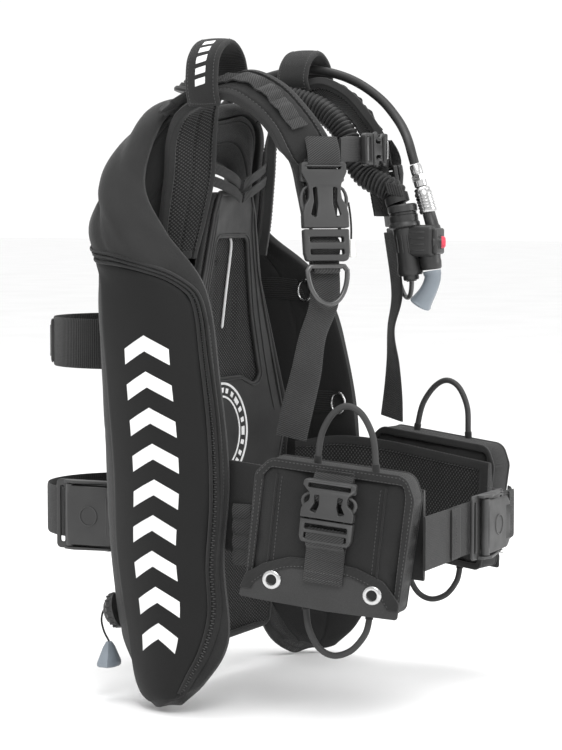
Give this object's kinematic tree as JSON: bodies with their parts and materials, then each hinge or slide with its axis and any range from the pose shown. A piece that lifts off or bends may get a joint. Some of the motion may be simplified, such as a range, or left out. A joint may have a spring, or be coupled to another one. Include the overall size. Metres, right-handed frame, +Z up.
{
  "type": "buoyancy compensator vest",
  "caption": "Back-inflating diving buoyancy vest with padded shoulder straps, waist pockets, chest and waist buckles, cylinder bands, corrugated inflator hose and dump valves.",
  "frame": {"origin": "centre of the back plate's flat rear face, where the air cylinder rests", "axes": "+Z up along the wearer's spine, +Y backwards towards the cylinder, +X to the wearer's left"},
  "size_m": [0.3934, 0.4892, 0.6391],
  "materials": {
    "shell_cloth": "smooth coated nylon cloth",
    "pad_mesh": "spacer mesh over foam",
    "strap_nylon": "padded nylon, bound edges",
    "webbing": "ribbed nylon webbing",
    "coated_flap": "rubberised cloth",
    "moulded_plastic": "moulded acetal, satin",
    "hose_rubber": "satin rubber",
    "steel": "bright stainless steel",
    "grey_pull": "pale bluish grey",
    "red_key": "red"
  },
  "bodies": {
    "vest": {"accessory_loop_left_lower": "hose_rubber", "accessory_loop_left_upper": "hose_rubber", "accessory_loop_right_lower": "hose_rubber", "accessory_loop_right_upper": "hose_rubber", "air_cell": "shell_cloth", "back_frame": "moulded_plastic", "back_pad": "pad_mesh", "back_plate": "moulded_plastic", "corrugated_hose": "hose_rubber", "grommet_left_front": "steel", "grommet_left_rear": "steel", "grommet_right_front": "steel", "grommet_right_rear": "steel", "hose_elbow": "hose_rubber", "hose_loop_left": "strap_nylon", "hose_loop_right": "strap_nylon", "inflator_body": "moulded_plastic", "lp_fitting": "steel", "lp_hose": "hose_rubber", "mouthpiece": "grey_pull", "pocket_buckle_left": "moulded_plastic", "pocket_buckle_right": "moulded_plastic", "pocket_flap_left": "coated_flap", "pocket_flap_right": "coated_flap", "rear_dump_valve": "moulded_plastic", "shoulder_buckle_left": "moulded_plastic", "shoulder_buckle_right": "moulded_plastic", "shoulder_strap_left": "strap_nylon", "shoulder_strap_right": "strap_nylon", "shoulder_webbing_left": "webbing", "shoulder_webbing_right": "webbing", "sternum_buckle": "moulded_plastic", "sternum_strap_left": "webbing", "sternum_strap_right": "webbing", "tank_band_lower": "webbing", "tank_band_upper": "webbing", "tank_buckle_frame": "moulded_plastic", "waist_belt_left": "webbing", "waist_belt_right": "webbing", "waist_buckle_frame": "moulded_plastic", "waist_pad_left": "pad_mesh", "waist_pad_right": "pad_mesh", "weight_pocket_left": "shell_cloth", "weight_pocket_right": "shell_cloth"},
    "right_chest_latch": {"shoulder_latch_right": "moulded_plastic"},
    "right_d_ring": {"d_ring_right": "steel"},
    "left_chest_latch": {"shoulder_latch_left": "moulded_plastic"},
    "left_d_ring": {"d_ring_left": "steel"},
    "breast_latch": {"sternum_latch": "moulded_plastic"},
    "right_pocket_latch": {"pocket_latch_right": "moulded_plastic"},
    "left_pocket_latch": {"pocket_latch_left": "moulded_plastic"},
    "waist_lever": {"waist_buckle_lever": "moulded_plastic"},
    "cylinder_lever": {"tank_buckle_lever": "moulded_plastic"},
    "inflate_key": {"inflate_button": "red_key"},
    "deflate_key": {"deflate_button": "moulded_plastic"},
    "coupling_sleeve": {"coupling_collar": "steel"},
    "rear_dump_pull": {"rear_dump_cord": "webbing", "rear_dump_knob": "grey_pull"},
    "shoulder_dump_pull": {"shoulder_dump_cord": "webbing", "shoulder_dump_knob": "grey_pull"}
  },
  "joints": [
    {"name": "right_chest_clip", "type": "slide", "parent": "vest", "child": "right_chest_latch", "axis": [-0.096, -0.0994, -0.9904], "range_m": [0, 0.028]},
    {"name": "right_d_ring_swing", "type": "hinge", "parent": "right_chest_latch", "child": "right_d_ring", "pos_m": [-0.09114, -0.18229, 0.11148], "axis": [-0.7195, 0.6945, 0], "range_deg": [0, 75]},
    {"name": "left_chest_clip", "type": "slide", "parent": "vest", "child": "left_chest_latch", "axis": [0.096, -0.0994, -0.9904], "range_m": [0, 0.028]},
    {"name": "left_d_ring_swing", "type": "hinge", "parent": "left_chest_latch", "child": "left_d_ring", "pos_m": [0.09114, -0.18229, 0.11148], "axis": [-0.7195, -0.6945, 0], "range_deg": [0, 75]},
    {"name": "breast_clip", "type": "slide", "parent": "vest", "child": "breast_latch", "axis": [-1, 0, 0], "range_m": [0, 0.018]},
    {"name": "right_pocket_clip", "type": "slide", "parent": "vest", "child": "right_pocket_latch", "axis": [-0.0166, 0.1068, -0.9941], "range_m": [0, 0.026]},
    {"name": "left_pocket_clip", "type": "slide", "parent": "vest", "child": "left_pocket_latch", "axis": [0.0166, 0.1068, -0.9941], "range_m": [0, 0.026]},
    {"name": "waist_lever_hinge", "type": "hinge", "parent": "vest", "child": "waist_lever", "pos_m": [-0.0145, -0.314, -0.138], "axis": [0, 0, -1], "range_deg": [0, 105]},
    {"name": "cylinder_lever_hinge", "type": "hinge", "parent": "vest", "child": "cylinder_lever", "pos_m": [-0.095, 0.0995, -0.14], "axis": [0, 0, -1], "range_deg": [0, 105]},
    {"name": "inflate_press", "type": "slide", "parent": "vest", "child": "inflate_key", "axis": [-0.44, 0.898, 0], "range_m": [0, 0.003], "stiffness_N_per_m": 500},
    {"name": "deflate_press", "type": "slide", "parent": "vest", "child": "deflate_key", "axis": [-0.015, 0.1351, 0.9907], "range_m": [0, 0.004], "stiffness_N_per_m": 400},
    {"name": "coupling_pull", "type": "slide", "parent": "vest", "child": "coupling_sleeve", "axis": [0, 0.3, 0.9539], "range_m": [0, 0.004], "stiffness_N_per_m": 600},
    {"name": "rear_dump_slide", "type": "slide", "parent": "vest", "child": "rear_dump_pull", "axis": [0, 0, -1], "range_m": [0, 0.01], "stiffness_N_per_m": 400},
    {"name": "shoulder_dump_slide", "type": "slide", "parent": "vest", "child": "shoulder_dump_pull", "axis": [0, 0, -1], "range_m": [0, 0.01], "stiffness_N_per_m": 400}
  ]
}
